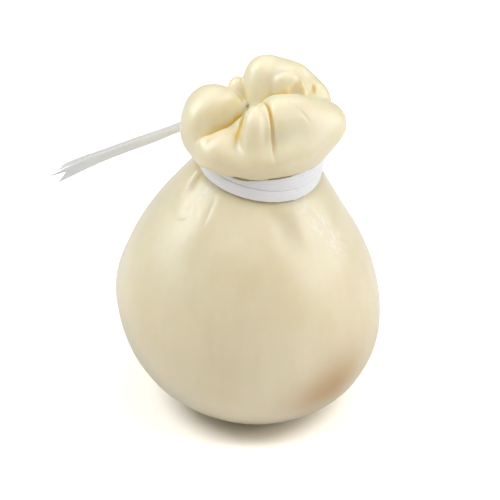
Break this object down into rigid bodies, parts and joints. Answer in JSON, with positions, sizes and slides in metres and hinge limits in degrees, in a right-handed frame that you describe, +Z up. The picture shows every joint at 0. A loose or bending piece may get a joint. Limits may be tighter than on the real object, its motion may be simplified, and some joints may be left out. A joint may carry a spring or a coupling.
{
  "type": "caciocavallo cheese",
  "caption": "Pear-shaped hanging cheese with a satin rind, a narrow neck under a folded head, and a flat white ribbon tied round the neck with its ends free.",
  "frame": {"origin": "middle of the small flat spot that the cheese stands on", "axes": "+Z up through the body to the folded head, -Y towards the shown front, -X towards the ribbon's free ends"},
  "size_m": [0.1877, 0.1522, 0.213],
  "materials": {
    "cheese_skin": "satin pale cream rind",
    "ribbon_white": "satin white woven plastic ribbon"
  },
  "bodies": {
    "root": {"cheese": "cheese_skin", "tie_turn_lower": "ribbon_white", "tie_turn_upper": "ribbon_white", "tie_knot": "ribbon_white", "tie_tail_front": "ribbon_white", "tie_tail_back": "ribbon_white"}
  },
  "joints": []
}
